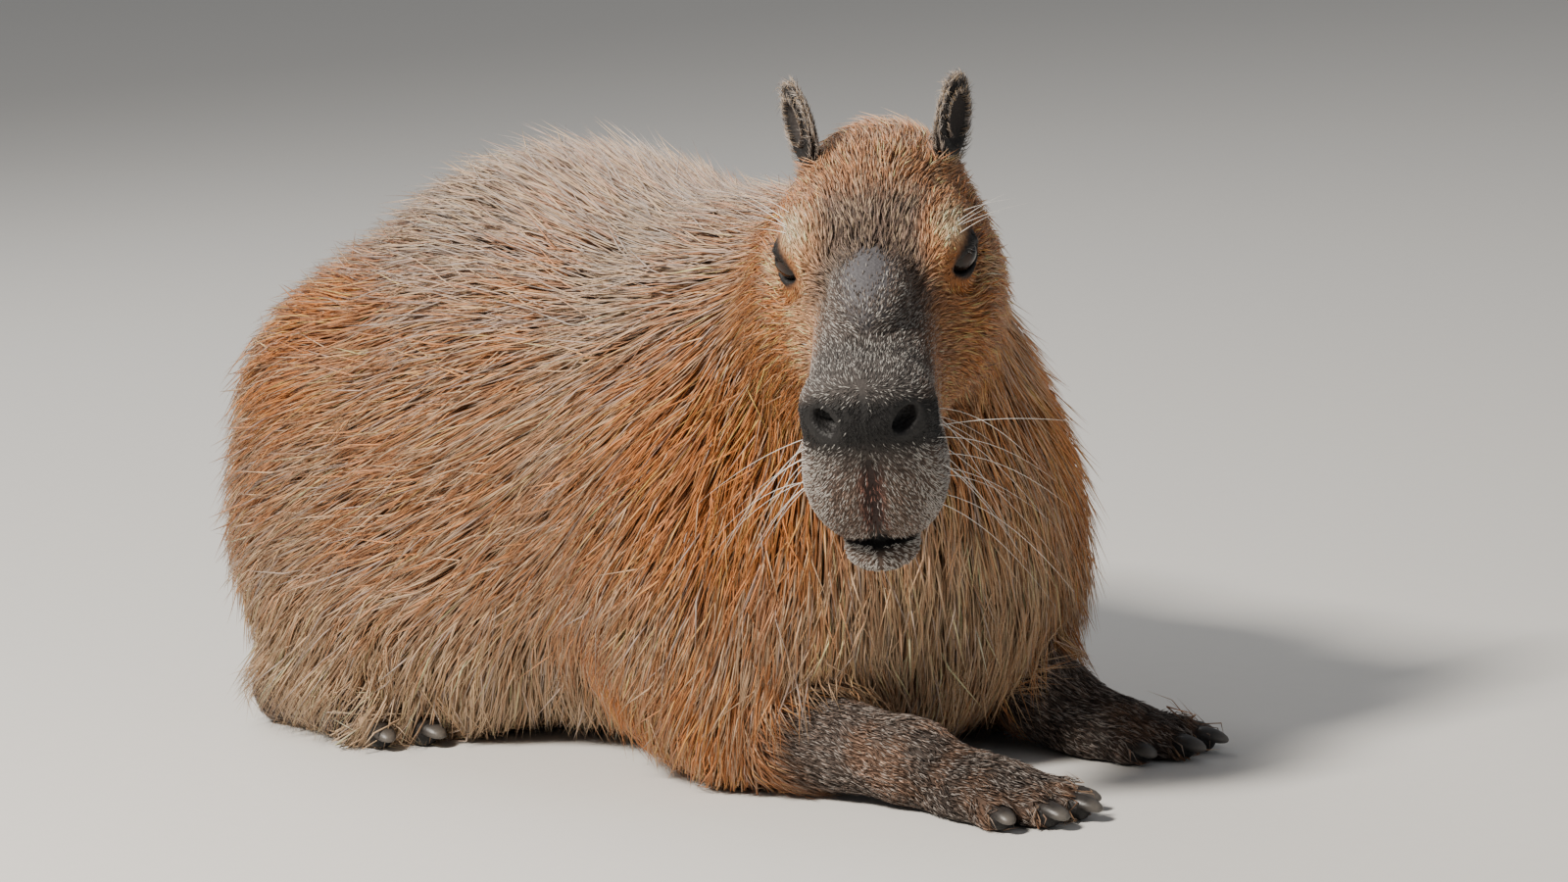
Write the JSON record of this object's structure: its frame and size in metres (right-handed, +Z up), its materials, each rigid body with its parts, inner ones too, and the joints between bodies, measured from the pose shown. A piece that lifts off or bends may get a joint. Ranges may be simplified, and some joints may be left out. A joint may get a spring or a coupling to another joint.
{
  "type": "still model of an adult capybara",
  "caption": "Life-size still model of a capybara lying on its belly with its head turned to its right, for display on a floor.",
  "frame": {"origin": "on the floor under the belly, at the middle of the trunk's width", "axes": "-Y towards the animal's front, +X to its left, +Z up"},
  "size_m": [0.4527, 0.9482, 0.5045],
  "materials": {
    "coat": "bristly reddish-brown coat over hide",
    "paw": "short dark fur and bare grey skin",
    "ear": "thin dark skin with short hair",
    "eye": "wet dark brown eye",
    "claw": "blunt dark horn"
  },
  "bodies": {
    "root": {"head": "coat", "neck": "coat", "torso": "coat", "eye_left": "eye", "eye_right": "eye", "ear_left": "ear", "ear_right": "ear", "foreleg_left": "coat", "foreleg_right": "coat", "forepaw_left": "paw", "forepaw_right": "paw", "thigh_left": "coat", "thigh_right": "coat", "hind_foot_left": "paw", "hind_foot_right": "paw", "forepaw_left_claw_1": "claw", "forepaw_left_claw_2": "claw", "forepaw_left_claw_3": "claw", "forepaw_left_claw_4": "claw", "forepaw_right_claw_1": "claw", "forepaw_right_claw_2": "claw", "forepaw_right_claw_3": "claw", "forepaw_right_claw_4": "claw", "hind_foot_left_claw_1": "claw", "hind_foot_left_claw_2": "claw", "hind_foot_left_claw_3": "claw", "hind_foot_right_claw_1": "claw", "hind_foot_right_claw_2": "claw", "hind_foot_right_claw_3": "claw"}
  },
  "joints": []
}
